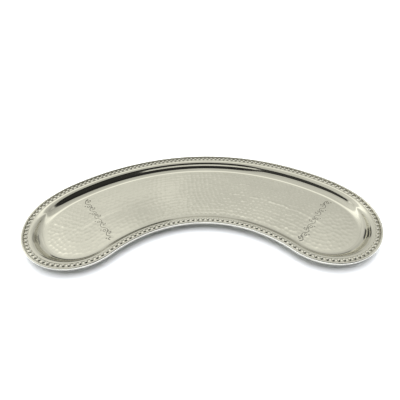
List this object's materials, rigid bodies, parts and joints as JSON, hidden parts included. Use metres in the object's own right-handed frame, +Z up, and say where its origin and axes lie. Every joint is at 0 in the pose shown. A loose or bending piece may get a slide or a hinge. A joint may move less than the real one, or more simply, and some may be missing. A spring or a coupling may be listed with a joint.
{
  "type": "kidney dish",
  "caption": "Shallow crescent-shaped steel dish with a coved wall, a lightly hammered floor, a beaded rim and a plain edge band.",
  "frame": {"origin": "middle of the dish's length and depth, on the surface that it stands on", "axes": "+X along the length, +Y towards the long convex side, +Z up out of the dish"},
  "size_m": [0.3796, 0.1695, 0.0121],
  "materials": {
    "hammered_steel": "polished stainless steel, lightly hammered",
    "band_steel": "polished stainless steel",
    "pearl_steel": "polished stainless steel, darkened between the pearls"
  },
  "bodies": {
    "root": {"dish_body": "hammered_steel", "edge_band": "band_steel", "pearl_border": "pearl_steel"}
  },
  "joints": []
}
